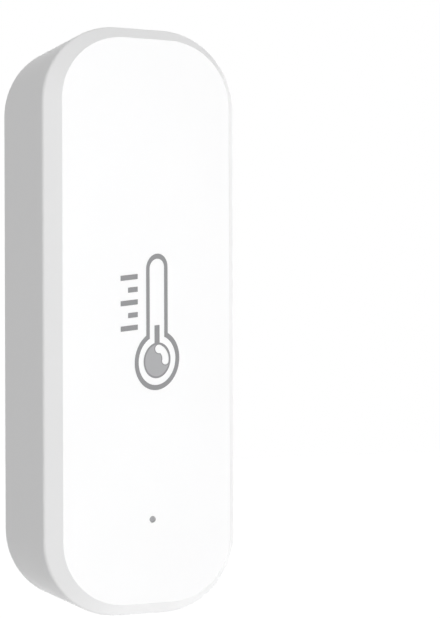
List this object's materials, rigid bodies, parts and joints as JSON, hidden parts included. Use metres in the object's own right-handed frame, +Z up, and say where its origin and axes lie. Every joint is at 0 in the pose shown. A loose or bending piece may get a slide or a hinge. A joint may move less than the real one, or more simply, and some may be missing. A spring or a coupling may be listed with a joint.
{
  "type": "temperature and humidity sensor",
  "caption": "Slim white wall sensor with rounded ends, bevelled rim, printed thermometer, status light, side button and snap-off back cover.",
  "frame": {"origin": "centre of the adhesive pad's rear face, where it meets the wall", "axes": "+Z up along the case, +Y from the room into the wall, +X to the right seen from the room"},
  "size_m": [0.0262, 0.0199, 0.075],
  "materials": {
    "case_white": "fine satin texture",
    "cover_white": "fine satin texture",
    "button_white": "fine satin texture",
    "tray_white": "plain moulded",
    "print_grey": "pad-printed ink",
    "print_pale_grey": "pad-printed ink",
    "light_pipe": "smoked and polished",
    "foam_pad": "closed-cell foam with adhesive film",
    "board_green": "solder mask",
    "module_board": "solder mask",
    "shield_tin": "tinned",
    "antenna_copper": "gold-plated copper",
    "lamp": "clear epoxy",
    "chip_black": "moulded epoxy",
    "surface_parts": "ceramic and plated ends",
    "capacitor_base": "moulded",
    "capacitor_aluminium": "drawn",
    "ferrite": "pressed ferrite",
    "switch_black": "moulded",
    "plunger": "moulded",
    "screw_steel": "zinc-plated",
    "cell_metal": "nickel-plated",
    "cell_sleeve": "printed shrink film",
    "contact_nickel": "nickel-plated",
    "spring_nickel": "nickel-plated wire"
  },
  "bodies": {
    "back": {"back_cover": "cover_white", "adhesive_pad": "foam_pad"},
    "case": {"front_housing": "case_white", "thermometer_outline_print": "print_grey", "thermometer_bulb_print": "print_pale_grey", "light_pipe": "light_pipe", "switch_body": "switch_black", "circuit_board": "board_green", "radio_board": "module_board", "radio_shield": "shield_tin", "antenna_trace": "antenna_copper", "status_lamp": "lamp", "humidity_sensor": "chip_black", "control_chip": "chip_black", "voltage_regulator": "chip_black", "small_surface_parts": "surface_parts", "capacitor_base": "capacitor_base", "capacitor_can": "capacitor_aluminium", "power_inductor": "ferrite", "battery_tray": "tray_white", "chassis_screws": "screw_steel", "left_cell_can": "cell_metal", "left_cell_sleeve": "cell_sleeve", "right_cell_can": "cell_metal", "right_cell_sleeve": "cell_sleeve", "positive_contact": "contact_nickel", "negative_contact": "contact_nickel", "bridge_contact": "contact_nickel", "upper_spring": "spring_nickel", "lower_spring": "spring_nickel"},
    "button": {"side_button": "button_white"},
    "plunger": {"switch_plunger": "plunger"}
  },
  "joints": [
    {"name": "case_pull", "type": "slide", "parent": "back", "child": "case", "axis": [0, -1, 0], "range_m": [0, 0.02]},
    {"name": "button_press", "type": "slide", "parent": "case", "child": "button", "axis": [-1, 0, 0], "range_m": [0, 0.0003], "stiffness_N_per_m": 1000},
    {"name": "plunger_press", "type": "slide", "parent": "case", "child": "plunger", "axis": [-1, 0, 0], "range_m": [0, 0.0003]}
  ],
  "couplings": [
    {"joint": "plunger_press", "follows": "button_press", "ratio": 1}
  ]
}
